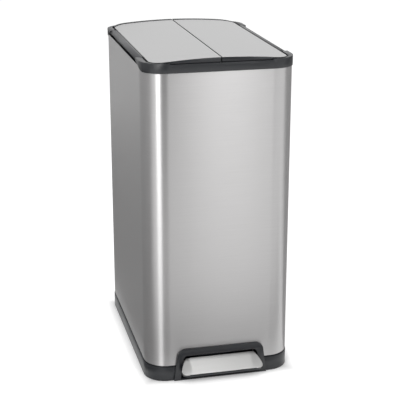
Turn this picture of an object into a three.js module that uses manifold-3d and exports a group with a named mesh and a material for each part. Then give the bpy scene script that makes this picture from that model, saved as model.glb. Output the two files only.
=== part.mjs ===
// A tall steel pedal bin for sorting waste. Two lids meet on the centre line of an arched top and open outwards
// like wings when the pedal is pressed, and two buckets stand one behind the other inside.
// Millimetres, +Z up, front face towards -Y. Sizes are taken from the centre of the steel shell at floor level;
// the finished group is moved back so that its own middle stands on the origin.
import * as THREE from "three";
import { mergeVertices } from "three/addons/utils/BufferGeometryUtils.js";
import Module from "manifold-3d";

const wasm = await Module();
wasm.setup();

// ---------------------------------------------------------------- driving dimensions
const width = 300; // steel shell, outside, left to right
const depth = 447; // steel shell, outside, front to back
const cornerRadius = 45; // steel shell, outside
const sheet = 0.6; // stainless steel of the shell
const gap = 0.3; // air between pieces that rest on each other
const arcSegments = 9; // facets in a quarter turn of a large corner
const roundSides = 16; // facets round a pin or a bore

const base = { bottom: 1, bandTop: 31, proud: 1, rimGap: 1.3, wall: 4, floor: 61, plate: 3, postRadius: 11 };
const footRadius = 9;
const footHeight = 3; // from the ground to the post above the foot
const footSpot = { x: 118, y: 186 };
const shellTop = 641;

const collar = { low: 634, land: 650.5, ear: 652.8, proud: 1.6, plate: 3, earFrom: 100 };
const skirtEnd = { top: 151, side: 178, round: 197, sideZ: 642 }; // the skirt ends in a slant beside the lids' strips
const gutter = { x: 139.5, end: 186, radius: 34 }; // open gap beside the corners of the lids
const throat = { side: 14.5, back: 31.5, wall: 2, low: 612, top: 649.5, radius: 30.5 };
const trough = { low: 634, high: 636 }; // floor of the groove under each hinge strip
const slot = { x: 137, y0: 194, y1: 208 }; // the cranks and the yoke rise through here
const bumper = { x: 60, y: 215, radius: 4, bottom: 648.5, top: 650.7 };

const lid = { peak: 661, drop: 0.00042, low: 650.8, half: 135, reach: 222, corner: 30, seam: 1.2 };
const panel = 0.7; // steel on top of a lid
const backEdge = { from: 214, proud: 0.8 }; // plastic edge behind the steel, and its height above it
const skin = 2; // plastic under the steel
const recess = { x0: 6, x1: 110, y0: -216, y1: 188 }; // hollow under a lid, closed by its liner
const liner = 1.5;
const hinge = { x: 145.5, z: 648, endY: 150, barrel: 3.6, bore: 2.3, pin: 2, pinEnd: 170 };

const swing = (39 * Math.PI) / 180; // a crank stands this far below level at rest, and as far above when open
const crank = { radius: 20, y0: 197, y1: 201, pin: 2.5, eye: 5, pinEnd: 206.5 };
const crankPin = { x: hinge.x - crank.radius * Math.cos(swing), z: hinge.z - crank.radius * Math.sin(swing) };
const yoke = { y0: 202, y1: 206, end: 132.6, low: 622, top: 642, slotHalf: 3.2, web: 117, slotFrom: 122 };
const yokeFoot = { half: 8, low: 614.5, high: 620.5 }; // low enough to stay under the collar's land when lifted
const rod = { y: 213, radius: 3, bottom: 31.5 };
const guide = { half: 19.7, y0: 204, y1: 222, height: 10, levels: [96, 370, 596] };
const damper = { x: 11, radius: 5.5, bottom: 380, top: 500, bore: 2, boreFrom: 400, rod: 1.6, rodFrom: 440 };
const clamp = { x0: -6, x1: 17, y0: 207, y1: 219, low: 560, high: 568 };
const duct = { half: 22, front: 196, back: 222.6, wall: 2, top: 608 };

const axle = { y: -72, z: 28, radius: 4, half: 24, bossFrom: 12, bossHalf: 12, bossLow: 18 };
const beam = { half: 10, low: 25, high: 31, end: 216, hub: 9 };
const leverHead = { half: 42, low: 20, high: 44, thick: 6 };
const arch = { outerFoot: 97, outerTop: 88, outerZ: 69, outerR: 18, foot: 84, top: 76, z: 54, r: 9 };
const sill = 3.5; // top of the bar that closes the archway at the ground
const sleeve = { wall: 2, air: 0.4, proud: 4.7, length: 24 };
const pedal = { tip: -253, root: -222.5, back: -206, top: 46.5, low: 24, bottom: 18.5, halfRoot: 74, halfTip: 83 };
const pedalSheet = 1.2;
const core = { inset: 2.2, drop: 2.5 }; // plastic under the steel, in from its edges and down from its top

const bucket = { half: 129, radius: 26, front: -204.5, back: 187.5, gap: 3, bottom: 61.2, top: 636, taper: 5 };
const bucketWall = 2;
const bucketRim = { out: 2, height: 2.5 };
const grip = { half: 30, low: 606, high: 622 };

const frontFace = -depth / 2;

// ---------------------------------------------------------------- materials
const steel = new THREE.MeshStandardMaterial({ color: 0xb9babb, roughness: 0.34, metalness: 1 });
const plainSteel = new THREE.MeshStandardMaterial({ color: 0x9a9ea2, roughness: 0.45, metalness: 1 });
const charcoal = new THREE.MeshStandardMaterial({ color: 0x3e4146, roughness: 0.5, metalness: 0 });
const bucketPlastic = new THREE.MeshStandardMaterial({ color: 0x55585c, roughness: 0.55, metalness: 0 });
const rubber = new THREE.MeshStandardMaterial({ color: 0x1b1c1d, roughness: 0.85, metalness: 0 });

// ---------------------------------------------------------------- solids and booleans
function solid(geometry) {
  const bare = geometry.index ? geometry.toNonIndexed() : geometry.clone();
  for (const name of Object.keys(bare.attributes)) if (name !== "position") bare.deleteAttribute(name);
  const merged = mergeVertices(bare, 1e-4);
  const vertProperties = new Float32Array(merged.attributes.position.array);
  const triVerts = new Uint32Array(merged.index.array);
  return new wasm.Manifold(new wasm.Mesh({ numProp: 3, vertProperties, triVerts }));
}

function geometryOf(body) {
  const made = body.getMesh();
  const points = new Float32Array(made.numVert * 3);
  for (let i = 0; i < made.numVert; i++) {
    points.set(made.vertProperties.subarray(i * made.numProp, i * made.numProp + 3), i * 3);
  }
  const geometry = new THREE.BufferGeometry();
  geometry.setAttribute("position", new THREE.BufferAttribute(points, 3));
  geometry.setIndex(new THREE.BufferAttribute(new Uint32Array(made.triVerts), 1));
  geometry.computeVertexNormals();
  return geometry;
}

const join = (...bodies) => bodies.reduce((a, b) => a.add(b));
const cut = (body, ...tools) => tools.reduce((a, b) => a.subtract(b), body);

function piece(name, body, material) {
  const mesh = new THREE.Mesh(geometryOf(body), material);
  mesh.name = name;
  return mesh;
}

// A box between two corners, given in any order.
function block(x0, x1, y0, y1, z0, z1) {
  const box = new THREE.BoxGeometry(Math.abs(x1 - x0), Math.abs(y1 - y0), Math.abs(z1 - z0));
  return solid(box.translate((x0 + x1) / 2, (y0 + y1) / 2, (z0 + z1) / 2));
}

// A round bar along one axis, from a to b; u and v place its centre line on the other two axes, in X, Y, Z order.
function bar(axis, a, b, u, v, r) {
  const turned = new THREE.CylinderGeometry(r, r, Math.abs(b - a), roundSides);
  const middle = (a + b) / 2;
  if (axis === "x") return solid(turned.rotateZ(Math.PI / 2).translate(middle, u, v));
  if (axis === "y") return solid(turned.translate(u, middle, v));
  return solid(turned.rotateX(Math.PI / 2).translate(u, v, middle));
}

// A plan outline pushed up from z0 to z1.
function upright(shape, z0, z1) {
  const settings = { depth: z1 - z0, bevelEnabled: false, curveSegments: arcSegments };
  return solid(new THREE.ExtrudeGeometry(shape, settings).translate(0, 0, z0));
}

// An outline drawn in X and Z, pushed back along Y from y0 to y1.
function alongY(points, y0, y1) {
  const shape = new THREE.Shape(points.map(([x, z]) => new THREE.Vector2(x, z)));
  const geometry = new THREE.ExtrudeGeometry(shape, { depth: y1 - y0, bevelEnabled: false });
  return solid(geometry.rotateX(Math.PI / 2).translate(0, y1, 0));
}

// An outline drawn in Y and Z, pushed along X from x0 to x1, in any order.
function alongX(points, x0, x1) {
  const shape = new THREE.Shape(points.map(([y, z]) => new THREE.Vector2(y, z)));
  const geometry = new THREE.ExtrudeGeometry(shape, { depth: Math.abs(x1 - x0), bevelEnabled: false });
  return solid(geometry.rotateZ(Math.PI / 2).rotateY(Math.PI / 2).translate(Math.min(x0, x1), 0, 0));
}

// A rectangle with rounded corners, between two corners in plan.
function roundedRect(x0, x1, y0, y1, r) {
  const shape = new THREE.Shape();
  shape.moveTo(x0 + r, y0);
  shape.lineTo(x1 - r, y0);
  shape.absarc(x1 - r, y0 + r, r, -Math.PI / 2, 0);
  shape.lineTo(x1, y1 - r);
  shape.absarc(x1 - r, y1 - r, r, 0, Math.PI / 2);
  shape.lineTo(x0 + r, y1);
  shape.absarc(x0 + r, y1 - r, r, Math.PI / 2, Math.PI);
  shape.lineTo(x0, y0 + r);
  shape.absarc(x0 + r, y0 + r, r, Math.PI, 1.5 * Math.PI);
  return shape;
}

// The shell's plan outline, moved out by offset (in, if it is negative), from z0 to z1.
function plan(offset, z0, z1) {
  const x = width / 2 + offset;
  const y = depth / 2 + offset;
  return upright(roundedRect(-x, x, -y, y, cornerRadius + offset), z0, z1);
}

// A solid through two level outlines with the same number of points, the lower one first.
function loft(lower, upper) {
  const count = lower.length;
  const faces = [];
  for (let i = 0; i < count; i++) {
    const next = (i + 1) % count;
    faces.push(i, next, next + count, i, next + count, i + count);
  }
  const capOf = (outline) => THREE.ShapeUtils.triangulateShape(outline.map((p) => new THREE.Vector2(p.x, p.y)), []);
  for (const [i, j, k] of capOf(lower)) faces.push(i, k, j);
  for (const [i, j, k] of capOf(upper)) faces.push(i + count, j + count, k + count);
  const points = [...lower, ...upper].flatMap((p) => [p.x, p.y, p.z]);
  const geometry = new THREE.BufferGeometry();
  geometry.setAttribute("position", new THREE.Float32BufferAttribute(points, 3));
  geometry.setIndex(faces);
  return solid(geometry);
}

// ---------------------------------------------------------------- foot of the bin
// The outline of the pedal's archway: legs that lean in a little, and a flat top with round corners.
function archway(foot, top, height, r) {
  const below = 5;
  const steps = 5;
  const lean = (foot - top) / height;
  const shoulder = height - r;
  const x = foot - lean * shoulder;
  const points = [[foot + lean * below, -below]];
  for (let i = 0; i <= steps; i++) {
    const a = (i / steps) * (Math.PI / 2);
    points.push([x - r + r * Math.cos(a), shoulder + r * Math.sin(a)]);
  }
  const mirrored = points.map(([px, pz]) => [-px, pz]).reverse();
  return [...points, ...mirrored];
}

const archwayWith = (air) => archway(arch.foot + air, arch.top + air, arch.z + air, arch.r + air);
const clearArch = archwayWith(sleeve.wall + sleeve.air);

function bodyShell() {
  const tube = cut(plan(0, base.bandTop + gap, shellTop), plan(-sheet, base.bandTop, shellTop + 1));
  return cut(tube, alongY(clearArch, frontFace - 10, frontFace + 40));
}

const corners = [
  ["front_left", -1, -1],
  ["front_right", 1, -1],
  ["rear_left", -1, 1],
  ["rear_right", 1, 1],
];

const tubeInside = -base.rimGap - sheet; // the base's wall fits inside the shell with this offset
const underFloor = base.floor - base.plate;
const pedalPassage = () => alongY(clearArch, frontFace - 10, frontFace + sleeve.length + 2);

// The ring at the foot: a band that shows below the shell, and a wall above it inside the shell.
function baseBand() {
  const band = plan(base.proud, base.bottom, base.bandTop);
  const wall = plan(tubeInside, base.bandTop - 1, base.floor);
  const hollow = plan(tubeInside - base.wall, base.bottom - 1, base.floor + 1);
  return cut(join(band, wall), hollow, pedalPassage());
}

// The plate that the buckets stand on, with posts down to the feet and two bosses that hold the pedal's axle.
function baseFloor() {
  const plate = plan(tubeInside - base.wall - gap, underFloor, base.floor);
  const posts = corners.map(([, s, t]) =>
    bar("z", footHeight, base.floor - 1, s * footSpot.x, t * footSpot.y, base.postRadius),
  );
  const bosses = [-1, 1].map((s) => {
    const y = [axle.y - axle.bossHalf, axle.y + axle.bossHalf];
    return block(s * axle.bossFrom, s * axle.half, ...y, axle.bossLow, base.floor - 1);
  });
  return cut(
    join(plate, ...posts, ...bosses),
    pedalPassage(),
    bar("x", -axle.half - 1, axle.half + 1, axle.y, axle.z, axle.radius + gap),
    bar("z", underFloor - 1, base.floor + 1, 0, rod.y, rod.radius + 2),
  );
}

// The moulded frame round the pedal: a flange in front of the shell, a short sleeve behind it and a sill on the ground.
function pedalSurround() {
  const flangeBack = frontFace - base.proud - gap;
  const outline = archway(arch.outerFoot, arch.outerTop, arch.outerZ, arch.outerR);
  const flange = alongY(outline, frontFace - sleeve.proud, flangeBack);
  const tunnel = alongY(archwayWith(sleeve.wall), flangeBack - 1, frontFace + sleeve.length);
  const opening = alongY(archwayWith(0), frontFace - 10, frontFace + 40);
  const ground = block(-width, width, frontFace - 10, frontFace + 40, -10, base.bottom);
  const front = frontFace - sleeve.proud;
  const across = block(-arch.foot, arch.foot, front, frontFace + sleeve.length, base.bottom, sill);
  return join(cut(join(flange, tunnel), opening, ground), across);
}

const foot = (s, t) => bar("z", 0, footHeight - gap, s * footSpot.x, t * footSpot.y, footRadius);

// ---------------------------------------------------------------- pedal and lever
// The pedal's plan outline at height z. Its sides run straight back inside the archway and flare in front of it.
function pedalOutline(z, front, half, r, inset, back) {
  const steps = 6;
  const side = pedal.halfRoot - inset;
  const x = half - inset;
  const y = front + inset;
  const right = [
    [side, back],
    [side, Math.max(pedal.root + 2, y + r + gap)],
  ];
  for (let i = 0; i <= steps; i++) {
    const a = (i / steps) * (Math.PI / 2);
    right.push([x - r + r * Math.cos(a), y + r - r * Math.sin(a)]);
  }
  const left = right.map(([px, py]) => [-px, py]);
  return [...left, ...right.reverse()].map(([px, py]) => new THREE.Vector3(px, py, z));
}

const tipOutline = (z, inset, back = pedal.back) => pedalOutline(z, pedal.tip, pedal.halfTip, 14, inset, back);
const rootOutline = (z, inset, back = pedal.back) => pedalOutline(z, pedal.root, pedal.halfRoot, 6, inset, back);

function pedalCover() {
  const behind = pedal.back + 10;
  const outside = loft(tipOutline(pedal.low, 0), rootOutline(pedal.top, 0));
  const under = loft(
    tipOutline(pedal.low - pedalSheet, pedalSheet, behind),
    rootOutline(pedal.top - pedalSheet, pedalSheet, behind),
  );
  return cut(outside, under);
}

function pedalBody() {
  const under = pedalSheet + gap;
  const top = rootOutline(pedal.top - under - core.drop, core.inset);
  const skirt = loft(tipOutline(pedal.bottom, 0), tipOutline(pedal.low - gap, 0));
  return join(loft(tipOutline(pedal.low - under, core.inset), top), skirt);
}

function pedalLever() {
  const headBack = pedal.back + gap + leverHead.thick;
  const head = block(-leverHead.half, leverHead.half, pedal.back + gap, headBack, leverHead.low, leverHead.high);
  const arm = block(-beam.half, beam.half, headBack - 1, beam.end, beam.low, beam.high);
  const hub = bar("x", -beam.half, beam.half, axle.y, axle.z, beam.hub);
  return cut(join(head, arm, hub), bar("x", -beam.half - 1, beam.half + 1, axle.y, axle.z, axle.radius + gap));
}

const pedalAxle = () => bar("x", -axle.half, axle.half, axle.y, axle.z, axle.radius);

// ---------------------------------------------------------------- collar
// The throat's plan outline, moved in by inset: the clear way down to the buckets is inset by its wall.
function throatPlan(inset, z0, z1) {
  const x = width / 2 - throat.side - inset;
  const front = -depth / 2 + throat.side + inset;
  const back = depth / 2 - throat.back - inset;
  return upright(roundedRect(-x, x, front, back, throat.radius - inset), z0, z1);
}

// The moulding that closes the shell's top: a skirt outside it, a flat land for the lids, and a neck for the buckets.
function topCollar() {
  const rim = cut(plan(collar.proud, collar.low, collar.ear), plan(gap, collar.low - 1, collar.land - collar.plate));
  const neck = throatPlan(0, throat.low, throat.top);
  const pocketY = lid.reach + 1.5;
  const pocketShape = roundedRect(-gutter.x, gutter.x, -pocketY, pocketY, gutter.radius);
  const pocket = upright(pocketShape, collar.land, collar.ear + 5);
  const between = block(-collar.earFrom, collar.earFrom, -depth, depth, collar.land, collar.ear + 5);
  const neckSide = width / 2 - throat.side;
  const half = [
    [skirtEnd.top, collar.ear + 5],
    [skirtEnd.top, collar.land - collar.plate],
    [skirtEnd.side, skirtEnd.sideZ],
    [skirtEnd.round, collar.low],
    [skirtEnd.round, collar.low - 5],
  ];
  const windowOutline = [...half, ...half.map(([y, z]) => [-y, z]).reverse()];
  const windows = [-1, 1].map((s) => alongX(windowOutline, s * (neckSide + gap), s * width));
  const troughs = [-1, 1].map((s) => {
    const x = [s * (neckSide - 1), s * (width / 2 - sheet - gap)];
    return block(...x, -skirtEnd.side, skirtEnd.side, trough.low, trough.high);
  });
  const gutters = corners.map(([, s, t]) => {
    const x = [s * (neckSide + gap), s * gutter.x];
    return block(...x, t * (skirtEnd.top - 1), t * gutter.end, trough.high + 1, collar.ear + 5);
  });
  const bosses = corners.map(([, s, t]) => {
    const x = [s * (hinge.x - hinge.barrel), s * (hinge.x + hinge.barrel)];
    return block(...x, t * skirtEnd.top, t * (hinge.pinEnd + 1), hinge.z - hinge.barrel, collar.land - 1);
  });
  const bores = corners.map(([, s, t]) =>
    bar("y", t * (skirtEnd.top - 1), t * (hinge.pinEnd + gap), s * hinge.x, hinge.z, hinge.bore),
  );
  const seats = corners.map(([, s, t]) =>
    bar("z", bumper.bottom, collar.land + 1, s * bumper.x, t * bumper.y, bumper.radius + gap),
  );
  const body = join(cut(join(rim, neck), pocket, between, ...windows, ...gutters), ...troughs, ...bosses);
  const crankSlot = block(-slot.x, slot.x, slot.y0, slot.y1, throat.top - 10, collar.land);
  return cut(body, throatPlan(throat.wall, throat.low - 1, collar.ear + 5), crankSlot, ...bores, ...seats);
}

const hingePin = (s) => bar("y", -hinge.pinEnd, hinge.pinEnd, s * hinge.x, hinge.z, hinge.pin);
const lidBumper = (s, t) => bar("z", bumper.bottom, bumper.top, s * bumper.x, t * bumper.y, bumper.radius);

// ---------------------------------------------------------------- lids
const lidTop = (x) => lid.peak - lid.drop * x * x;

// Points along the arched top, lowered by down, between two distances from the centre line.
function archPoints(x0, x1, down) {
  const steps = 8;
  const at = (i) => x0 + ((x1 - x0) * i) / steps;
  return Array.from({ length: steps + 1 }, (_, i) => [at(i), lidTop(at(i)) - down]);
}

const onSide = (s, points) => points.map(([x, z]) => [s * x, z]);

// Both lids' plan outline back to the distance given, moved out by air.
function lidOutline(back = lid.reach, air = 0) {
  const x = lid.half + air;
  const shape = roundedRect(-x, x, -lid.reach - air, back + air, lid.corner + air);
  return upright(shape, lid.low - 5, lid.peak + 5);
}

function lidPanel(s) {
  const under = archPoints(lid.seam, lid.half, panel).reverse();
  const section = [...archPoints(lid.seam, lid.half, 0), ...under];
  return alongY(onSide(s, section), -lid.reach, backEdge.from).intersect(lidOutline(backEdge.from));
}

// The moulded half of a lid: edge walls and a thin skin under the steel, an edge behind the steel, and a strip that
// covers the hinge barrel.
function lidFrame(s) {
  const down = panel + 0.2;
  const section = [[lid.seam, lid.low], ...archPoints(lid.seam, lid.half, down), [lid.half, lid.low]];
  const slab = alongY(onSide(s, section), -lid.reach, lid.reach).intersect(lidOutline());
  const hollow = [[recess.x0, lid.low - 1], ...archPoints(recess.x0, recess.x1, down + skin), [recess.x1, lid.low - 1]];
  const raised = [[lid.seam, lid.low + 1], ...archPoints(lid.seam, lid.half, -backEdge.proud), [lid.half, lid.low + 1]];
  const edge = alongY(onSide(s, raised), backEdge.from - lid.corner, lid.reach).intersect(lidOutline());
  const strip = [
    [lid.half - 1, lid.low],
    [lid.half - 1, lid.low + 0.9],
    [lid.half + 1.8, lid.low + 0.9],
    [lid.half + 1.8, 653.4],
    [141, 653.2],
    [146.2, 652.3],
    [149, 650.8],
    [150, 649.2],
    [150, 648],
    [149.4, 647.3],
    [148.6, 647.2],
    [hinge.x, hinge.z],
    [hinge.x - hinge.barrel, hinge.z],
    [hinge.x - hinge.barrel - 0.6, lid.low],
  ];
  const barrel = bar("y", -hinge.endY, hinge.endY, s * hinge.x, hinge.z, hinge.barrel);
  const bore = bar("y", -hinge.endY - 1, hinge.endY + 1, s * hinge.x, hinge.z, hinge.bore);
  const body = cut(slab, alongY(onSide(s, hollow), recess.y0, recess.y1));
  const behind = cut(edge, lidOutline(backEdge.from, gap));
  return cut(join(body, behind, alongY(onSide(s, strip), -hinge.endY, hinge.endY), barrel), bore);
}

function lidLiner(s) {
  const x = [s * (recess.x0 + gap), s * (recess.x1 - gap)];
  return block(...x, recess.y0 + gap, recess.y1 - gap, lid.low, lid.low + liner);
}

// ---------------------------------------------------------------- lift: cranks, yoke, rod and damper
function crankArm(s) {
  const steps = 8;
  const eye = Array.from({ length: steps + 1 }, (_, i) => {
    const a = -(i / steps) * Math.PI;
    return [crankPin.x + crank.eye * Math.cos(a), crankPin.z + crank.eye * Math.sin(a)];
  });
  const outline = [[114, lid.low], [133, lid.low], [134.5, 641], ...eye, [124.6, 643], [114, 648.6]];
  const hole = bar("y", crank.y0 - 1, crank.y1 + 1, s * crankPin.x, crankPin.z, crank.pin + gap);
  return cut(alongY(onSide(s, outline), crank.y0, crank.y1), hole);
}

const crankPinOf = (s) => bar("y", crank.y0, crank.pinEnd, s * crankPin.x, crankPin.z, crank.pin);

// A low bar across the back with a fork at each end; each crank's pin rides in its fork.
function liftYoke() {
  const { y0, y1, end, low, top, slotHalf, web, slotFrom } = yoke;
  const forkLow = crankPin.z - slotHalf;
  const forks = [-1, 1].map((s) =>
    block(s * slotFrom, s * (end + 1), y0 - 1, y1 + 1, forkLow, crankPin.z + slotHalf),
  );
  const plate = cut(block(-end, end, y0, y1, low, top), block(-web, web, y0 - 1, y1 + 1, forkLow, top + 1), ...forks);
  const stem = block(-yokeFoot.half, yokeFoot.half, y0, y1, yokeFoot.low, low + 1);
  const toe = block(-yokeFoot.half, yokeFoot.half, y1 - 1, rod.y + rod.radius + 2, yokeFoot.low, yokeFoot.high);
  return join(plate, stem, toe);
}

const pushRod = () => bar("z", rod.bottom, yokeFoot.low, 0, rod.y, rod.radius);

function rodGuide(level) {
  const body = block(-guide.half, guide.half, guide.y0, guide.y1, level, level + guide.height);
  return cut(body, bar("z", level - 1, level + guide.height + 1, 0, rod.y, rod.radius + gap));
}

function damperCylinder() {
  const body = bar("z", damper.bottom, damper.top, damper.x, rod.y, damper.radius);
  return cut(body, bar("z", damper.boreFrom, damper.top + 1, damper.x, rod.y, damper.bore));
}

const damperRod = () => bar("z", damper.rodFrom, clamp.low, damper.x, rod.y, damper.rod);

function rodClamp() {
  const body = block(clamp.x0, clamp.x1, clamp.y0, clamp.y1, clamp.low, clamp.high);
  return cut(body, bar("z", clamp.low - 1, clamp.high + 1, 0, rod.y, rod.radius + gap));
}

function rearDuct() {
  const { half, front, back, wall, top } = duct;
  const channel = block(-half, half, front, back, base.floor + gap, top);
  return cut(channel, block(-half + wall, half - wall, front + wall, back + 1, base.floor, top + 1));
}

// ---------------------------------------------------------------- buckets
function bucketPlan(y0, y1, inset, z) {
  const shape = roundedRect(-bucket.half + inset, bucket.half - inset, y0 + inset, y1 - inset, bucket.radius - inset);
  const points = shape.getPoints(4);
  points.pop();
  return points.map((p) => new THREE.Vector3(p.x, p.y, z));
}

function bucketAt(y0, y1) {
  const { bottom, top, taper } = bucket;
  const outside = loft(bucketPlan(y0, y1, taper, bottom), bucketPlan(y0, y1, 0, top));
  const rim = loft(bucketPlan(y0, y1, -bucketRim.out, top - bucketRim.height), bucketPlan(y0, y1, -bucketRim.out, top));
  const inside = loft(
    bucketPlan(y0, y1, taper + bucketWall, bottom + bucketWall),
    bucketPlan(y0, y1, bucketWall, top + 1),
  );
  const middle = (y0 + y1) / 2;
  const grips = block(-width, width, middle - grip.half, middle + grip.half, grip.low, grip.high);
  return cut(join(outside, rim), inside, grips);
}

// ---------------------------------------------------------------- assembly
const bin = new THREE.Group();
bin.add(
  piece("body_shell", bodyShell(), steel),
  piece("base_band", baseBand(), charcoal),
  piece("base_floor", baseFloor(), charcoal),
  piece("pedal_surround", pedalSurround(), charcoal),
  piece("pedal_cover", pedalCover(), steel),
  piece("pedal_body", pedalBody(), charcoal),
  piece("pedal_lever", pedalLever(), plainSteel),
  piece("pedal_axle", pedalAxle(), plainSteel),
  piece("top_collar", topCollar(), charcoal),
  piece("lift_yoke", liftYoke(), plainSteel),
  piece("push_rod", pushRod(), plainSteel),
  piece("damper_cylinder", damperCylinder(), charcoal),
  piece("damper_rod", damperRod(), plainSteel),
  piece("rod_clamp", rodClamp(), charcoal),
  piece("rear_duct", rearDuct(), bucketPlastic),
);
for (const [i, name] of ["lower", "middle", "upper"].entries()) {
  bin.add(piece(`rod_guide_${name}`, rodGuide(guide.levels[i]), charcoal));
}
for (const [name, s, t] of corners) {
  bin.add(piece(`foot_${name}`, foot(s, t), rubber), piece(`bumper_${name}`, lidBumper(s, t), rubber));
}
for (const [name, s] of [["left", -1], ["right", 1]]) {
  bin.add(
    piece(`hinge_pin_${name}`, hingePin(s), plainSteel),
    piece(`lid_frame_${name}`, lidFrame(s), charcoal),
    piece(`lid_panel_${name}`, lidPanel(s), steel),
    piece(`lid_liner_${name}`, lidLiner(s), bucketPlastic),
    piece(`crank_${name}`, crankArm(s), plainSteel),
    piece(`crank_pin_${name}`, crankPinOf(s), plainSteel),
  );
}
const split = (bucket.front + bucket.back) / 2;
const rimRoom = bucket.gap / 2 + bucketRim.out;
bin.add(
  piece("bucket_front", bucketAt(bucket.front, split - rimRoom), bucketPlastic),
  piece("bucket_rear", bucketAt(split + rimRoom, bucket.back), bucketPlastic),
);
bin.position.y = -(pedal.tip + depth / 2 + collar.proud) / 2;

const group = new THREE.Group();
group.add(bin);
export default group;
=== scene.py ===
import math

import bmesh
import bpy
import numpy as np
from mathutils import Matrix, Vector


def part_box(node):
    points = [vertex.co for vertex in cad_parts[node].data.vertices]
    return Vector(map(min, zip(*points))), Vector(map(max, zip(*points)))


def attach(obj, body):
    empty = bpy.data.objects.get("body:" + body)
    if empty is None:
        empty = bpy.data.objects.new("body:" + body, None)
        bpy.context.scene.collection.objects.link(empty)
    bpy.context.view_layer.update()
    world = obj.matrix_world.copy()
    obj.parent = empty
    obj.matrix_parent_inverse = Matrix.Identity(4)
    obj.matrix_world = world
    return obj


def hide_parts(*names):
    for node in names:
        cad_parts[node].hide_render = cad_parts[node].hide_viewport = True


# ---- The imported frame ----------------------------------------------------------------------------
# Every solid of the bin comes in at its place, in metres. Sizes of pieces below are in millimetres,
# measured from the middle of the steel shell at floor level.
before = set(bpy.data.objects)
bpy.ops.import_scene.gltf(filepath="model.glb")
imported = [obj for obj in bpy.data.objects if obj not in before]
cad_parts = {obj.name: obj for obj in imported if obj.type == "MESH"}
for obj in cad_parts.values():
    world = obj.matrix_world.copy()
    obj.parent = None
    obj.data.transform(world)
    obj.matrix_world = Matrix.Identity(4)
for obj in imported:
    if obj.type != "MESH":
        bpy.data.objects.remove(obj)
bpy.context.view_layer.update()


# ---- Camera --------------------------------------------------------------------------------------
# Stands 2.4 m away, to the left of the front and above the lids, and looks a little down at the
# middle of the shell. The shell's own box says how far back that middle stands in the frame.
def put(name, data):
    """A new object for that data, in the scene."""
    made = bpy.data.objects.new(name, data)
    bpy.context.scene.collection.objects.link(made)
    return made


shell_low, shell_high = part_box("body_shell")
SHELL_MIDDLE = np.array([0.0, (shell_low.y + shell_high.y) / 2, 0.0])
AZIMUTH, ELEVATION = math.radians(-13.511), math.radians(18.369)
LENS, SENSOR = 101.523, 36
# In metres: the height that it looks at, and how far right, down and back from there it stands.
AIM_HEIGHT, TO_RIGHT, TO_BELOW, DISTANCE = 0.325, 0.011111, 0.017015, 2.419242
back = Vector(
    (
        math.sin(AZIMUTH) * math.cos(ELEVATION),
        -math.cos(AZIMUTH) * math.cos(ELEVATION),
        math.sin(ELEVATION),
    )
)
turn = (-back).to_track_quat("-Z", "Y")
right, up = turn @ Vector((1, 0, 0)), turn @ Vector((0, 1, 0))
camera = put("camera", bpy.data.cameras.new("camera"))
bpy.context.scene.camera = camera
camera.data.lens, camera.data.sensor_width = LENS, SENSOR
camera.rotation_mode = "QUATERNION"
camera.rotation_quaternion = turn
aim = Vector((0, SHELL_MIDDLE[1], AIM_HEIGHT))
camera.location = aim + right * TO_RIGHT - up * TO_BELOW + back * DISTANCE


# ---- White surround and floor paper --------------------------------------------------------------
# A white floor under a white surround, as for a catalogue picture. Both show pure white to the eye
# and in the steel, and the floor still takes the bin's soft shadow.
def linear(code):
    """'#rrggbb' to linear light: c / 12.92 up to 0.04045, else ((c + 0.055) / 1.055) ** 2.4."""
    c = np.array([int(code[i : i + 2], 16) / 255 for i in (1, 3, 5)])
    return (*np.where(c <= 0.04045, c / 12.92, ((c + 0.055) / 1.055) ** 2.4), 1.0)


def add(tree, kind, inputs=None, **settings):
    """Adds a node with its settings, and sets or links its inputs: values or nodes' sockets."""
    made = tree.nodes.new(kind)
    for key, value in settings.items():
        setattr(made, key, value)
    for key, value in (inputs or {}).items():
        if isinstance(value, bpy.types.NodeSocket):
            tree.links.new(value, made.inputs[key])
        else:
            made.inputs[key].default_value = value
    return made


def empty_material(name):
    """A new material with no nodes yet, and its tree of nodes."""
    made = bpy.data.materials.new(name)
    made.use_nodes = True
    made.node_tree.nodes.clear()
    return made, made.node_tree


def shown_white(tree):
    """1 for what the eye, a mirror or glass shows, and 0 for light that falls on matt surfaces."""
    rays = add(tree, "ShaderNodeLightPath")
    shown = rays.outputs["Is Camera Ray"]
    for kind in ("Is Glossy Ray", "Is Transmission Ray"):
        larger = add(tree, "ShaderNodeMath", {0: shown, 1: rays.outputs[kind]}, operation="MAXIMUM")
        shown = larger.outputs[0]
    return shown


SURROUND_LIGHT, SURROUND_SHOWN = 0.55, 1.0
world = bpy.data.worlds.new("white surround")
bpy.context.scene.world = world
world.use_nodes = True
tree = world.node_tree
tree.nodes.clear()
strength = add(
    tree,
    "ShaderNodeMapRange",
    {"Value": shown_white(tree), "To Min": SURROUND_LIGHT, "To Max": SURROUND_SHOWN},
)
white = linear("#ffffff")
sky = add(tree, "ShaderNodeBackground", {"Color": white, "Strength": strength.outputs[0]})
add(tree, "ShaderNodeOutputWorld", {"Surface": sky.outputs[0]})

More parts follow.
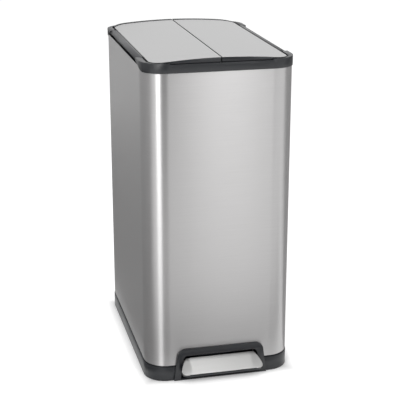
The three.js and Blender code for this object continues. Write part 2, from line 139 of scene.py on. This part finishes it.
# The paper glows a little, so that it shows pure white. Under the bin it doesn't glow, which is
# painted shade: within a box of the half sizes given next, round the middle, there is no glow, and it
# is full GLOW_EDGE farther out. All three sizes are in metres.
PAPER_HALF, SHADE_BOX_UNDER_BIN, GLOW_EDGE = 12, (0.14, 0.2, 0), 0.03
GLOW = 0.52
paper, tree = empty_material("white floor paper")
where = add(tree, "ShaderNodeTexCoord")
apart = add(tree, "ShaderNodeVectorMath", {0: where.outputs["Object"]}, operation="ABSOLUTE")
past = add(tree, "ShaderNodeVectorMath", {0: apart.outputs[0], 1: SHADE_BOX_UNDER_BIN}, operation="SUBTRACT")
axes = add(tree, "ShaderNodeSeparateXYZ", {0: past.outputs[0]})
farther = add(
    tree, "ShaderNodeMath", {0: axes.outputs[0], 1: axes.outputs[1]}, operation="MAXIMUM"
)
glow = add(
    tree,
    "ShaderNodeMapRange",
    {"Value": farther.outputs[0], "From Max": GLOW_EDGE, "To Max": GLOW},
)
matt = add(tree, "ShaderNodeBsdfDiffuse", {"Color": linear("#f4f4f4")})
glowing = add(tree, "ShaderNodeEmission", {"Color": white, "Strength": glow.outputs[0]})
both = add(tree, "ShaderNodeAddShader", {0: matt.outputs[0], 1: glowing.outputs[0]})
either = add(
    tree, "ShaderNodeMixShader", {0: shown_white(tree), 1: matt.outputs[0], 2: both.outputs[0]}
)
add(tree, "ShaderNodeOutputMaterial", {"Surface": either.outputs[0]})
floor_mesh = bpy.data.meshes.new("floor")
paper_corners = np.array([(-1, -1, 0), (1, -1, 0), (1, 1, 0), (-1, 1, 0)]) * PAPER_HALF
floor_mesh.from_pydata(paper_corners.tolist(), [], [(0, 1, 2, 3)])
floor_mesh.materials.append(paper)
put("floor", floor_mesh)


# ---- Lamps ---------------------------------------------------------------------------------------
# A tall strip left of the camera and a narrow one right of it make the bright upright bands on the
# steel's corners, and a square one overhead lights the lids. Places and sizes are in metres.
def soft_box(name, place, aim, width, height, power):
    """A rectangular studio lamp of that width and height, at a place, turned to a point."""
    lamp = bpy.data.lights.new(name, "AREA")
    lamp.shape, lamp.size, lamp.size_y, lamp.energy = "RECTANGLE", width, height, power
    made = put(name, lamp)
    made.location = place
    made.rotation_euler = (Vector(aim) - Vector(place)).to_track_quat("-Z", "Y").to_euler()
    made.visible_camera = False


soft_box("left_strip", (-1.09, -1.68, 1.3), (0, 0, 0.6), 0.7, 2.0, 17.0)
soft_box("front_right_box", (0.43, -1.72, 1.6), (0, -0.2, 0.6), 0.18, 1.8, 4.8)
soft_box("overhead_box", (0.2, 0.3, 3.2), (0, 0, 0.3), 2.2, 2.2, 18.0)


# ---- Cloths --------------------------------------------------------------------------------------
# Grey cloths stand round the bin out of sight, as in a studio, so that the steel mirrors soft greys
# between the lamps. Those lying on the floor near the foot are painted shade: sheets that only the
# steel mirrors, standing in for the floor's shade beside the bin. Places are in metres.
def flag(name, code, line, lift):
    """A cloth from a line of points to the same points moved by lift. Only reflections see it."""
    cloth, tree = empty_material(f"{name} cloth")
    dull = add(tree, "ShaderNodeBsdfDiffuse", {"Color": linear(code)})
    add(tree, "ShaderNodeOutputMaterial", {"Surface": dull.outputs[0]})
    line = np.array(line, float)
    points = np.concatenate([line, line + lift])
    n = len(line)
    mesh = bpy.data.meshes.new(name)
    mesh.from_pydata(points.tolist(), [], [(i, i + 1, i + 1 + n, i + n) for i in range(n - 1)])
    mesh.materials.append(cloth)
    made = put(name, mesh)
    made.visible_camera = made.visible_diffuse = made.visible_shadow = False
    made.visible_transmission = made.visible_volume_scatter = False


TALL, WAIST, ON_FLOOR = 2.6, 0.95, 0.002
left_line = [
    (-1.80, -1.00, 0),
    (-1.96, -0.42, 0),
    (-1.88, 0.68, 0),
    (-1.0, 1.73, 0),
    (0.17, 1.99, 0),
]
right_line = [(1.85, -0.75, 0), (1.97, 0.35, 0), (1.64, 1.15, 0), (1.0, 1.73, 0)]
flag("flag_front", "#505050", [(-0.70, -1.75, 0), (0.29, -1.75, 0)], (0, 0, TALL))
flag("flag_front_right", "#d8d8d8", [(0.53, -1.75, 0), (0.72, -1.7, 0)], (0, 0, TALL))
flag("flag_left", "#d8d8d8", left_line, (0, 0, WAIST))
flag("flag_right", "#bcbcbc", right_line, (0, 0, WAIST))
# Cloths lying on the floor beside the foot: painted shade, seen only in the steel.
for name, code, near_x, far_x, y, reach in [
    ("painted_shade_left_low", "#9c9c9c", -0.172, -1.8, -0.4, 2.3),
    ("painted_shade_right_low", "#d4d4d4", 0.172, 1.8, -0.15, 2.05),
    ("painted_shade_front_low", "#808080", -0.3, 0.5, -0.28, -0.2),
]:
    flag(name, code, [(near_x, y, ON_FLOOR), (far_x, y, ON_FLOOR)], (0, reach, 0))


# ---- Steel shell ---------------------------------------------------------------------------------
# One sheet of stainless steel, 0.6 mm thick, wrapped round four large corners, with an opening for
# the pedal at the foot of the front. Its fine grain runs level all the way round, so lamps smear
# into upright bands.
def vary(tree, pattern, code, tints, roughness, spread):
    """Inputs that follow a pattern from 0 to 1: the colour times tints[0] to tints[1], and
    roughness - spread to roughness + spread."""
    tint = add(
        tree, "ShaderNodeMapRange", {"Value": pattern, "To Min": tints[0], "To Max": tints[1]}
    )
    colour = add(
        tree, "ShaderNodeVectorMath", {0: linear(code)[:3], 3: tint.outputs[0]}, operation="SCALE"
    )
    rough = add(
        tree,
        "ShaderNodeMapRange",
        {"Value": pattern, "To Min": roughness - spread, "To Max": roughness + spread},
    )
    return {"Base Color": colour.outputs[0], "Roughness": rough.outputs[0]}


def stainless(name, code, roughness):
    """Stainless steel brushed along u of the UV map, which is in metres: it mirrors softly, and
    smears what it mirrors across the grain."""
    # Real grain is 0.05 mm wide: it is drawn 1.6 mm wide and 90 mm long, so that it shows.
    grain_length, grain_width, grain_depth = 0.09, 0.0016, 0.00005
    made, tree = empty_material(name)
    uv = add(tree, "ShaderNodeUVMap", uv_map="grain")
    streaks = add(
        tree,
        "ShaderNodeMapping",
        {"Vector": uv.outputs[0], "Scale": (1 / grain_length, 1 / grain_width, 1)},
    )
    grain = add(
        tree, "ShaderNodeTexNoise", {"Vector": streaks.outputs[0], "Scale": 1.0, "Detail": 3.0}
    )
    ridges = add(
        tree,
        "ShaderNodeBump",
        {"Height": grain.outputs[0], "Strength": 0.25, "Distance": grain_depth},
    )
    along = add(tree, "ShaderNodeTangent", direction_type="UV_MAP", uv_map="grain")
    steel = add(
        tree,
        "ShaderNodeBsdfPrincipled",
        {
            **vary(tree, grain.outputs[0], code, (0.95, 1.05), roughness, 0.02),
            "Metallic": 1.0,
            "Anisotropic": 0.95,
            "Anisotropic Rotation": 0.25,
            "Normal": ridges.outputs[0],
            "Tangent": along.outputs[0],
        },
    )
    add(tree, "ShaderNodeOutputMaterial", {"Surface": steel.outputs[0]})
    return made


def rounded_outline(half_x, half_y, radius):
    """A rectangle in plan with quarter circles at its corners: (cx + r cos a, cy + r sin a),
    counter-clockwise, with 60 points on each side and 16 on each corner."""
    t = np.linspace(0, 1, 60, endpoint=False)[:, None]
    a = np.linspace(0, math.pi / 2, 16, endpoint=False)
    x, y = half_x - radius, half_y - radius
    runs = [
        ((-x, -half_y), (x, -half_y), (x, -y), -math.pi / 2),
        ((half_x, -y), (half_x, y), (x, y), 0.0),
        ((x, half_y), (-x, half_y), (-x, y), math.pi / 2),
        ((-half_x, y), (-half_x, -y), (-x, -y), math.pi),
    ]
    out = []
    for p, q, c, start in runs:
        arc = np.stack([np.cos(start + a), np.sin(start + a)], -1)
        out += [np.array(p) + (np.array(q) - np.array(p)) * t, np.array(c) + radius * arc]
    return np.concatenate(out)


def at_height(outline, z):
    """The outline's points at height z, which is a number or one number for each point."""
    return np.column_stack([outline, np.broadcast_to(z, len(outline))])


def carry(name, rings, body, material, closed):
    """Joins rings of points, profile by path, with four-sided faces, and round both ways where
    closed; u and v of the UV map are the mean lengths along the path and the profile."""
    rings = np.asarray(rings, float)
    profile, path = rings.shape[:2]
    open_end = 0 if closed else 1
    k, n = np.meshgrid(np.arange(profile - open_end), np.arange(path - open_end), indexing="ij")
    corners = [(k, n), (k, n + 1), (k + 1, n + 1), (k + 1, n)]
    quads = np.stack([(a % profile) * path + b % path for a, b in corners], -1).reshape(-1, 4)
    along = np.concatenate([rings, rings[:, :1]], 1)
    across = np.concatenate([rings, rings[:1]], 0)
    u = np.append(0, np.cumsum(np.linalg.norm(np.diff(along, axis=1), axis=2).mean(0))) * MM
    v = np.append(0, np.cumsum(np.linalg.norm(np.diff(across, axis=0), axis=2).mean(1))) * MM
    uv = np.stack([np.stack([u[b], v[a]], -1) for a, b in corners], 2)
    mesh = bpy.data.meshes.new(name)
    points = rings.reshape(-1, 3) * MM + SHELL_MIDDLE
    mesh.from_pydata(points.tolist(), [], quads.tolist())
    mesh.uv_layers.new(name="grain").data.foreach_set("uv", uv.ravel())
    work = bmesh.new()
    work.from_mesh(mesh)
    bmesh.ops.recalc_face_normals(work, faces=work.faces)
    work.to_mesh(mesh)
    work.free()
    mesh.shade_smooth()
    mesh.set_sharp_from_angle(angle=SHARP_FROM)
    mesh.materials.append(material)
    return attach(put(name, mesh), body)


MM, SHARP_FROM = 0.001, math.radians(32)
WIDTH, DEPTH, CORNER, SHEET = 300.0, 447.0, 45.0, 0.6
SHELL_LOW, SHELL_TOP = 34.0, 641.0
OPENING_HALF, OPENING_TOP = 82.0, 58.0
# From this height up every ring is level, so that the grain is too.
LEVEL_FROM = 66.0
wall_steel = stainless("brushed stainless steel sheet", "#bcbbbb", 0.36)
outside = rounded_outline(WIDTH / 2, DEPTH / 2, CORNER)
inside = rounded_outline(WIDTH / 2 - SHEET, DEPTH / 2 - SHEET, CORNER - SHEET)
over_pedal = (np.abs(outside[:, 0]) < OPENING_HALF) & (outside[:, 1] < 0)
foot = np.where(over_pedal, OPENING_TOP, SHELL_LOW)
levels = [foot, (foot + LEVEL_FROM) / 2, *np.linspace(LEVEL_FROM, SHELL_TOP, 8)]
rings = [at_height(outside, z) for z in levels] + [at_height(inside, z) for z in levels[::-1]]
shell = carry("shell_sheet", rings, "bin", wall_steel, closed=True)
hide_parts("body_shell")


# ---- Lids ----------------------------------------------------------------------------------------
# Each lid is a steel panel bent to a shallow arch and clipped over a moulded frame. The panel's
# edge is rolled down over the frame on all sides. Its grain runs along the bin.
def dense_ends(count, edge):
    """Numbers from 0 to 1, even between edge and 1 - edge, and in closer steps at both ends."""
    near = np.array([0, 0.15, 0.4, 0.7, 1.0]) * edge
    return np.concatenate([near, np.linspace(edge, 1 - edge, count)[1:-1], 1 - near[::-1]])


def rolled_edge(inward, depth):
    """How far a sheet has fallen at a distance inward from its edge: depth times
    1 - sqrt(1 - (1 - inward / ROLL) ** 2), a quarter of an ellipse."""
    return depth * (1 - np.sqrt(1 - (1 - np.clip(inward / ROLL, 0, 1)) ** 2))


def pressed_sheet(name, rings, body, steel, thickness):
    """A sheet whose upper face is the rings, made thicker downwards."""
    made = carry(name, rings, body, steel, closed=False)
    if made.data.polygons[len(made.data.polygons) // 2].normal.z < 0:
        made.data.flip_normals()
    thick = made.modifiers.new("sheet", "SOLIDIFY")
    thick.thickness, thick.offset = thickness * MM, -1
    return made


def lid_panel(name, way, body):
    """Height is PEAK - DROP x^2, less the rolled edge; both ends of the outer side are quarter
    circles."""
    whole = LID_FRONT + LID_BACK
    x = SEAM + (LID_HALF - SEAM) * dense_ends(40, ROLL / (LID_HALF - SEAM))
    past = np.clip(x - (LID_HALF - LID_CORNER), 0, LID_CORNER)
    short = (LID_CORNER - np.sqrt(LID_CORNER**2 - past**2))[:, None]
    length = whole - 2 * short
    gx, gt = np.meshgrid(x, dense_ends(60, ROLL / whole), indexing="ij")
    gy = (short - LID_FRONT) + length * gt
    inward = np.minimum(np.minimum(gx - SEAM, LID_HALF - gx), length * np.minimum(gt, 1 - gt))
    gz = PEAK - DROP * gx**2 - rolled_edge(inward, LID_ROLL_DEPTH)
    rings = np.stack([way * gx, gy, gz], -1)
    return pressed_sheet(name, rings, body, lit_lid_steel, LID_SHEET)


PEAK, DROP, SEAM, LID_SHEET = 661.0, 0.00042, 1.2, 0.7
LID_HALF, LID_CORNER, LID_FRONT, LID_BACK = 135.0, 30.0, 222.0, 214.0
ROLL, LID_ROLL_DEPTH = 1.2, 0.72
# Painted light: the lids are the same stainless as the wall, painted a little lighter (#c1c1c1
# against #bcbbbb) for the light that falls on their upward faces.
lit_lid_steel = stainless("brushed stainless steel lid, painted lighter", "#c1c1c1", 0.4)
for side, way in (("left", -1), ("right", 1)):
    panel = lid_panel(f"lid_sheet_{side}", way, f"lid_{side}")
    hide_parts(f"lid_panel_{side}")


# ---- Moulded pieces kept from the frame ----------------------------------------------------------
# Collar, base, archway, lid frames, guides and damper: charcoal ABS, moulded with a fine pebble, so
# that it is matt and its edges catch the light in a soft line. Buckets, liners and duct are moulded
# polypropylene, smoother and paler, and the feet and bumpers are dull black rubber.
def moulded(name, code, roughness, grit=0.0009):
    """A fine pebble of the given grit, in metres, and slow changes of gloss 60 mm across."""
    # Real spark erosion is 0.2 mm across: it is drawn 0.9 mm across, so that it shows.
    relief, cloud_size = 0.00004, 0.06
    made, tree = empty_material(name)
    where = add(tree, "ShaderNodeTexCoord").outputs["Object"]
    pebble = add(tree, "ShaderNodeTexNoise", {"Vector": where, "Scale": 1 / grit, "Detail": 2.0})
    cloud = add(
        tree, "ShaderNodeTexNoise", {"Vector": where, "Scale": 1 / cloud_size, "Detail": 2.0}
    )
    bumps = add(
        tree, "ShaderNodeBump", {"Height": pebble.outputs[0], "Strength": 0.35, "Distance": relief}
    )
    plastic = add(
        tree,
        "ShaderNodeBsdfPrincipled",
        {
            **vary(tree, cloud.outputs[0], code, (0.94, 1.06), roughness, 0.04),
            "IOR": 1.54,
            "Normal": bumps.outputs[0],
        },
    )
    add(tree, "ShaderNodeOutputMaterial", {"Surface": plastic.outputs[0]})
    return made


def ease(node, material, width):
    """Merges the node's loose triangles and rounds its sharp edges by width, as modifiers."""
    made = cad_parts[node]
    made.data.materials.clear()
    made.data.materials.append(material)
    made.data.shade_smooth()
    weld = made.modifiers.new("weld", "WELD")
    weld.merge_threshold = 0.01 * MM
    round_off = made.modifiers.new("edges", "BEVEL")
    round_off.width, round_off.segments, round_off.limit_method = width * MM, 2, "ANGLE"
    round_off.angle_limit = math.radians(35)
    round_off.harden_normals = True


charcoal = moulded("charcoal ABS, moulded", "#1c1e22", 0.36)
bucket_plastic = moulded("grey polypropylene, moulded", "#6d7073", 0.42, grit=0.002)
rubber = moulded("black rubber", "#1a1b1c", 0.8)
for node, width in [
    ("top_collar", 1.3),
    ("base_band", 1.2),
    ("base_floor", 0.6),
    ("pedal_surround", 1.4),
    ("pedal_body", 0.8),
    ("lid_frame_left", 0.4),
    ("lid_frame_right", 0.4),
    ("rod_clamp", 0.4),
    ("rod_guide_lower", 0.4),
    ("rod_guide_middle", 0.4),
    ("rod_guide_upper", 0.4),
    ("damper_cylinder", 0.4),
]:
    ease(node, charcoal, width)
for node in ("bucket_front", "bucket_rear", "lid_liner_left", "lid_liner_right", "rear_duct"):
    ease(node, bucket_plastic, 0.5)
for corner in ("front_left", "front_right", "rear_left", "rear_right"):
    ease(f"foot_{corner}", rubber, 0.5)
    ease(f"bumper_{corner}", rubber, 0.3)

# ---- Linkage kept from the frame -----------------------------------------------------------------
# The lever, axle, yoke, rods, hinge pins and cranks are mild steel, bent or turned and then zinc
# plated: dull and slightly blotched, with no grain. Their solids have the real shape.
BLOTCH = 0.008
plated, tree = empty_material("zinc plated steel")
where = add(tree, "ShaderNodeTexCoord").outputs["Object"]
blotch = add(tree, "ShaderNodeTexNoise", {"Vector": where, "Scale": 1 / BLOTCH, "Detail": 4.0})
zinc = add(
    tree,
    "ShaderNodeBsdfPrincipled",
    {**vary(tree, blotch.outputs[0], "#b4b7ba", (0.85, 1.1), 0.42, 0.08), "Metallic": 1.0},
)
add(tree, "ShaderNodeOutputMaterial", {"Surface": zinc.outputs[0]})
for node in ("pedal_lever", "pedal_axle", "lift_yoke", "push_rod", "damper_rod"):
    ease(node, plated, 0.4)
for side in ("left", "right"):
    for node in ("hinge_pin", "crank", "crank_pin"):
        ease(f"{node}_{side}", plated, 0.3)


# ---- Pedal cover ---------------------------------------------------------------------------------
# A pressed stainless cover that slopes down and flares to its front edge, clipped over the ABS
# pedal body. Both ends are bent down a little outside two straight folds.
def pedal_sheet(name):
    """Slopes evenly from root to tip; half its width grows fast at first and ends in round front
    corners. Past a fold it falls by FOLD_FALL over the rest of the width, at first in a parabola
    from BEND before the fold to BEND after it, and this fades out at the front edge."""
    s = dense_ends(26, ROLL / SLOPE_LENGTH)
    y = ROOT + (TIP - ROOT) * s
    z = PEDAL_TOP + (PEDAL_LOW - PEDAL_TOP) * s
    past = np.clip(TIP_CORNER - (y - TIP), 0, TIP_CORNER)
    flare = (TIP_HALF - ROOT_HALF) * (1 - (1 - s) ** 2)
    half = ROOT_HALF + flare - (TIP_CORNER - np.sqrt(TIP_CORNER**2 - past**2))
    t = dense_ends(90, ROLL / (2 * TIP_HALF)) * 2 - 1
    gs, gt = np.meshgrid(np.arange(len(s)), t, indexing="ij")
    gx = gt * half[gs]
    inward = np.minimum((1 - s)[gs] * SLOPE_LENGTH, half[gs] * (1 - np.abs(gt)))
    fold = (FOLD_ROOT + (FOLD_TIP - FOLD_ROOT) * s)[gs]
    over = np.clip(np.abs(gx) - fold + BEND, 0, None)
    bend = np.where(over < 2 * BEND, over**2 / (4 * BEND), over - BEND)
    bent = FOLD_FALL * bend / (TIP_HALF - FOLD_TIP) * (1 - s[gs] ** 6)
    rings = np.stack([gx, y[gs], z[gs] - rolled_edge(inward, ROLL) - bent], -1)
    return pressed_sheet(name, rings, "pedal", pedal_steel, PEDAL_SHEET)


ROOT, TIP, PEDAL_TOP, PEDAL_LOW, SLOPE_LENGTH = -222.5, -253.0, 46.5, 24.0, 38.0
ROOT_HALF, TIP_HALF, TIP_CORNER, PEDAL_SHEET = 72.5, 85.5, 11.0, 1.0
FOLD_ROOT, FOLD_TIP, FOLD_FALL, BEND = 64.0, 62.0, 2.4, 2.0
pedal_steel = stainless("brushed stainless steel pedal", "#b4b4b3", 0.34)
pedal_skin = pedal_sheet("pedal_sheet")
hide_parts("pedal_cover")

# ---- Close ---------------------------------------------------------------------------------------
# Colours are shown with the Standard view transform.
bpy.context.scene.view_settings.view_transform = "Standard"
